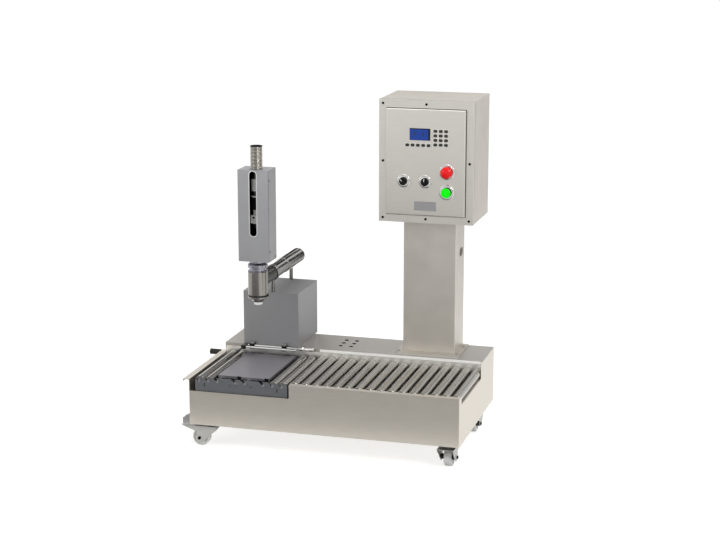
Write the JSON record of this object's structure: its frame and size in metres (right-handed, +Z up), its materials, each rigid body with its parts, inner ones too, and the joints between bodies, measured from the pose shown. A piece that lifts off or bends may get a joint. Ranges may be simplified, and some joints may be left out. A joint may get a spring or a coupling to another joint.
{
  "type": "single nozzle filling machine",
  "caption": "Castored filling machine: roller lane with a weighing section under one filling head, side inlet pipe, container stop and a control box on a column.",
  "frame": {"origin": "middle of the footprint, on the floor under the castor wheels", "axes": "+X along the roller lane from the weighing section to the outlet end, +Y from the operator's side to the rear, +Z up"},
  "size_m": [1.335, 0.87, 1.558],
  "materials": {
    "tray_paint": "satin",
    "steel": "brushed",
    "scale_steel": "brushed",
    "zinc": "satin",
    "box_paint": "satin",
    "cabinet_paint": "satin",
    "head_paint": "satin",
    "valve_steel": "polished",
    "white_plastic": "satin",
    "black_plastic": "satin",
    "rod_steel": "polished",
    "wheel": "matt",
    "red": "gloss",
    "green": "gloss",
    "screen": "gloss",
    "keys": "matt",
    "aluminium": "satin"
  },
  "bodies": {
    "machine": {"base_tray": "tray_paint", "deck_plate": "tray_paint", "base_frame": "zinc", "roller_axles": "rod_steel", "scale_frame": "scale_steel", "scale_plate": "steel", "load_cells": "aluminium", "stop_clamps": "steel", "castor_pads": "zinc", "corner_bracket": "black_plastic", "valve_body": "valve_steel", "nozzle_tip": "white_plastic", "actuator": "black_plastic", "head_housing": "head_paint", "inlet_pipe": "valve_steel", "equipment_box": "box_paint", "column": "cabinet_paint", "column_bolts": "zinc", "enclosure_body": "cabinet_paint", "enclosure_cover": "cabinet_paint", "cover_screws": "zinc", "control_bezels": "aluminium", "display": "screen", "keypad": "keys"},
    "container_stop": {"container_stop": "rod_steel"},
    "selector_left": {"selector_left": "black_plastic"},
    "selector_right": {"selector_right": "black_plastic"},
    "start_button": {"start_button": "green"},
    "stop_button": {"stop_button": "red"},
    "stop_knob_left": {"stop_knob_left": "zinc"},
    "stop_knob_right": {"stop_knob_right": "zinc"},
    "valve_stem": {"valve_stem": "rod_steel"},
    "lane_roller_01": {"lane_roller_01": "steel"},
    "lane_roller_02": {"lane_roller_02": "steel"},
    "lane_roller_03": {"lane_roller_03": "steel"},
    "lane_roller_04": {"lane_roller_04": "steel"},
    "lane_roller_05": {"lane_roller_05": "steel"},
    "lane_roller_06": {"lane_roller_06": "steel"},
    "lane_roller_07": {"lane_roller_07": "steel"},
    "lane_roller_08": {"lane_roller_08": "steel"},
    "lane_roller_09": {"lane_roller_09": "steel"},
    "lane_roller_10": {"lane_roller_10": "steel"},
    "lane_roller_11": {"lane_roller_11": "steel"},
    "lane_roller_12": {"lane_roller_12": "steel"},
    "lane_roller_13": {"lane_roller_13": "steel"},
    "lane_roller_14": {"lane_roller_14": "steel"},
    "lane_roller_15": {"lane_roller_15": "steel"},
    "lane_roller_16": {"lane_roller_16": "steel"},
    "scale_roller_1": {"scale_roller_1": "steel"},
    "scale_roller_2": {"scale_roller_2": "steel"},
    "scale_roller_3": {"scale_roller_3": "steel"},
    "scale_roller_4": {"scale_roller_4": "steel"},
    "castor_fork_front_left": {"castor_fork_front_left": "zinc"},
    "castor_wheel_front_left": {"castor_wheel_front_left": "wheel"},
    "castor_fork_front_right": {"castor_fork_front_right": "zinc"},
    "castor_wheel_front_right": {"castor_wheel_front_right": "wheel"},
    "castor_fork_rear_left": {"castor_fork_rear_left": "zinc"},
    "castor_wheel_rear_left": {"castor_wheel_rear_left": "wheel"},
    "castor_fork_rear_right": {"castor_fork_rear_right": "zinc"},
    "castor_wheel_rear_right": {"castor_wheel_rear_right": "wheel"}
  },
  "joints": [
    {"name": "lane_roller_01_spin", "type": "hinge", "parent": "machine", "child": "lane_roller_01", "pos_m": [-0.0975, -0.175, 0.317], "axis": [0, 1, 0], "continuous": true},
    {"name": "lane_roller_02_spin", "type": "hinge", "parent": "machine", "child": "lane_roller_02", "pos_m": [-0.048, -0.175, 0.317], "axis": [0, 1, 0], "continuous": true},
    {"name": "lane_roller_03_spin", "type": "hinge", "parent": "machine", "child": "lane_roller_03", "pos_m": [0.0015, -0.175, 0.317], "axis": [0, 1, 0], "continuous": true},
    {"name": "lane_roller_04_spin", "type": "hinge", "parent": "machine", "child": "lane_roller_04", "pos_m": [0.051, -0.175, 0.317], "axis": [0, 1, 0], "continuous": true},
    {"name": "lane_roller_05_spin", "type": "hinge", "parent": "machine", "child": "lane_roller_05", "pos_m": [0.1005, -0.175, 0.317], "axis": [0, 1, 0], "continuous": true},
    {"name": "lane_roller_06_spin", "type": "hinge", "parent": "machine", "child": "lane_roller_06", "pos_m": [0.15, -0.175, 0.317], "axis": [0, 1, 0], "continuous": true},
    {"name": "lane_roller_07_spin", "type": "hinge", "parent": "machine", "child": "lane_roller_07", "pos_m": [0.1995, -0.175, 0.317], "axis": [0, 1, 0], "continuous": true},
    {"name": "lane_roller_08_spin", "type": "hinge", "parent": "machine", "child": "lane_roller_08", "pos_m": [0.249, -0.175, 0.317], "axis": [0, 1, 0], "continuous": true},
    {"name": "lane_roller_09_spin", "type": "hinge", "parent": "machine", "child": "lane_roller_09", "pos_m": [0.2985, -0.175, 0.317], "axis": [0, 1, 0], "continuous": true},
    {"name": "lane_roller_10_spin", "type": "hinge", "parent": "machine", "child": "lane_roller_10", "pos_m": [0.348, -0.175, 0.317], "axis": [0, 1, 0], "continuous": true},
    {"name": "lane_roller_11_spin", "type": "hinge", "parent": "machine", "child": "lane_roller_11", "pos_m": [0.3975, -0.175, 0.317], "axis": [0, 1, 0], "continuous": true},
    {"name": "lane_roller_12_spin", "type": "hinge", "parent": "machine", "child": "lane_roller_12", "pos_m": [0.447, -0.175, 0.317], "axis": [0, 1, 0], "continuous": true},
    {"name": "lane_roller_13_spin", "type": "hinge", "parent": "machine", "child": "lane_roller_13", "pos_m": [0.4965, -0.175, 0.317], "axis": [0, 1, 0], "continuous": true},
    {"name": "lane_roller_14_spin", "type": "hinge", "parent": "machine", "child": "lane_roller_14", "pos_m": [0.546, -0.175, 0.317], "axis": [0, 1, 0], "continuous": true},
    {"name": "lane_roller_15_spin", "type": "hinge", "parent": "machine", "child": "lane_roller_15", "pos_m": [0.5955, -0.175, 0.317], "axis": [0, 1, 0], "continuous": true},
    {"name": "lane_roller_16_spin", "type": "hinge", "parent": "machine", "child": "lane_roller_16", "pos_m": [0.645, -0.175, 0.317], "axis": [0, 1, 0], "continuous": true},
    {"name": "scale_roller_1_spin", "type": "hinge", "parent": "machine", "child": "scale_roller_1", "pos_m": [-0.53425, -0.175, 0.317], "axis": [0, 1, 0], "continuous": true},
    {"name": "scale_roller_2_spin", "type": "hinge", "parent": "machine", "child": "scale_roller_2", "pos_m": [-0.49075, -0.175, 0.317], "axis": [0, 1, 0], "continuous": true},
    {"name": "scale_roller_3_spin", "type": "hinge", "parent": "machine", "child": "scale_roller_3", "pos_m": [-0.18625, -0.175, 0.317], "axis": [0, 1, 0], "continuous": true},
    {"name": "scale_roller_4_spin", "type": "hinge", "parent": "machine", "child": "scale_roller_4", "pos_m": [-0.14275, -0.175, 0.317], "axis": [0, 1, 0], "continuous": true},
    {"name": "castor_front_left_swivel", "type": "hinge", "parent": "machine", "child": "castor_fork_front_left", "pos_m": [-0.5225, -0.369, 0.09], "axis": [0, 0, 1], "continuous": true},
    {"name": "castor_front_left_roll", "type": "hinge", "parent": "castor_fork_front_left", "child": "castor_wheel_front_left", "pos_m": [-0.5445, -0.369, 0.04], "axis": [0, -1, 0], "continuous": true},
    {"name": "castor_front_right_swivel", "type": "hinge", "parent": "machine", "child": "castor_fork_front_right", "pos_m": [0.6075, -0.369, 0.09], "axis": [0, 0, 1], "continuous": true},
    {"name": "castor_front_right_roll", "type": "hinge", "parent": "castor_fork_front_right", "child": "castor_wheel_front_right", "pos_m": [0.6075, -0.347, 0.04], "axis": [1, 0, 0], "continuous": true},
    {"name": "castor_rear_left_swivel", "type": "hinge", "parent": "machine", "child": "castor_fork_rear_left", "pos_m": [-0.5225, 0.175, 0.09], "axis": [0, 0, 1], "continuous": true},
    {"name": "castor_rear_left_roll", "type": "hinge", "parent": "castor_fork_rear_left", "child": "castor_wheel_rear_left", "pos_m": [-0.5225, 0.153, 0.04], "axis": [-1, 0, 0], "continuous": true},
    {"name": "castor_rear_right_swivel", "type": "hinge", "parent": "machine", "child": "castor_fork_rear_right", "pos_m": [0.6075, 0.175, 0.09], "axis": [0, 0, 1], "continuous": true},
    {"name": "castor_rear_right_roll", "type": "hinge", "parent": "castor_fork_rear_right", "child": "castor_wheel_rear_right", "pos_m": [0.6075, 0.153, 0.04], "axis": [-1, 0, 0], "continuous": true},
    {"name": "container_stop_slide", "type": "slide", "parent": "machine", "child": "container_stop", "axis": [1, 0, 0], "range_m": [-0.06, 0.009]},
    {"name": "stop_knob_left_turn", "type": "hinge", "parent": "machine", "child": "stop_knob_left", "pos_m": [-0.4425, 0.047, 0.38], "axis": [0, 0, 1], "range_deg": [-90, 90]},
    {"name": "stop_knob_right_turn", "type": "hinge", "parent": "machine", "child": "stop_knob_right", "pos_m": [-0.2825, 0.047, 0.38], "axis": [0, 0, 1], "range_deg": [-90, 90]},
    {"name": "valve_stem_lift", "type": "slide", "parent": "machine", "child": "valve_stem", "axis": [0, 0, 1], "range_m": [0, 0.025], "stiffness_N_per_m": 400, "springref_m": -0.05},
    {"name": "stop_button_press", "type": "slide", "parent": "machine", "child": "stop_button", "axis": [0, 1, 0], "range_m": [0, 0.004], "stiffness_N_per_m": 400, "springref_m": -0.004},
    {"name": "start_button_press", "type": "slide", "parent": "machine", "child": "start_button", "axis": [0, 1, 0], "range_m": [0, 0.004], "stiffness_N_per_m": 400, "springref_m": -0.004},
    {"name": "selector_left_turn", "type": "hinge", "parent": "machine", "child": "selector_left", "pos_m": [0.2946, 0.025, 1.1923], "axis": [0, 1, 0], "range_deg": [0, 90]},
    {"name": "selector_right_turn", "type": "hinge", "parent": "machine", "child": "selector_right", "pos_m": [0.3944, 0.025, 1.1923], "axis": [0, 1, 0], "range_deg": [-45, 45]}
  ]
}
